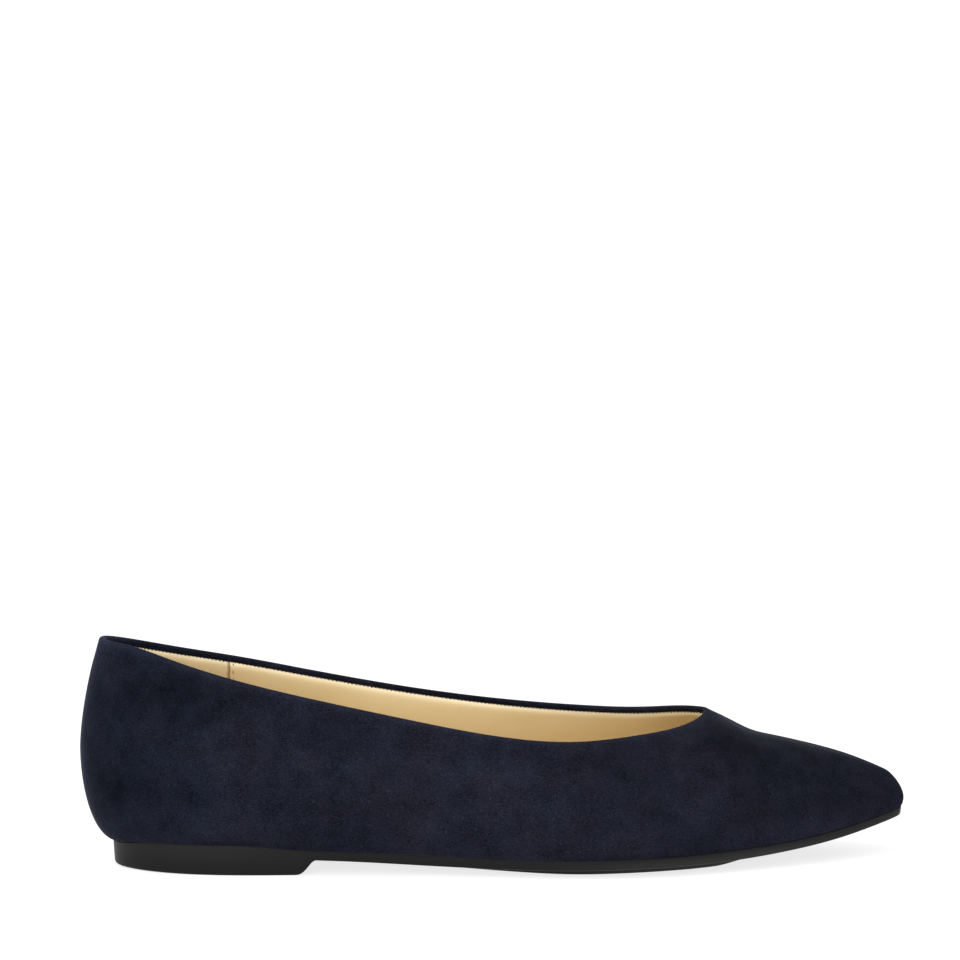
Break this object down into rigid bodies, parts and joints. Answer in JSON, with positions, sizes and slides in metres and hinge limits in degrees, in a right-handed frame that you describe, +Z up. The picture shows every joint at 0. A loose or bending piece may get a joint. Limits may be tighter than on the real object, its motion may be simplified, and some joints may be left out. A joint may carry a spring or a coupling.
{
  "type": "ballet flat",
  "caption": "Right ballet flat: pointed toe, V throat, hollow thin-walled suede upper open at the collar, moulded rubber sole with low heel and forefoot tread pad, covered insole.",
  "frame": {"origin": "on the floor plane, under the middle of the shoe's bounding box", "axes": "+X to the toe, +Y to the inner (medial) side, +Z up"},
  "size_m": [0.256, 0.0778, 0.071],
  "materials": {
    "suede": "napped navy suede",
    "rubber": "satin black moulded rubber",
    "lining": "smooth beige lining leather"
  },
  "bodies": {
    "root": {"upper": "suede", "outsole": "rubber", "insole": "lining"}
  },
  "joints": []
}
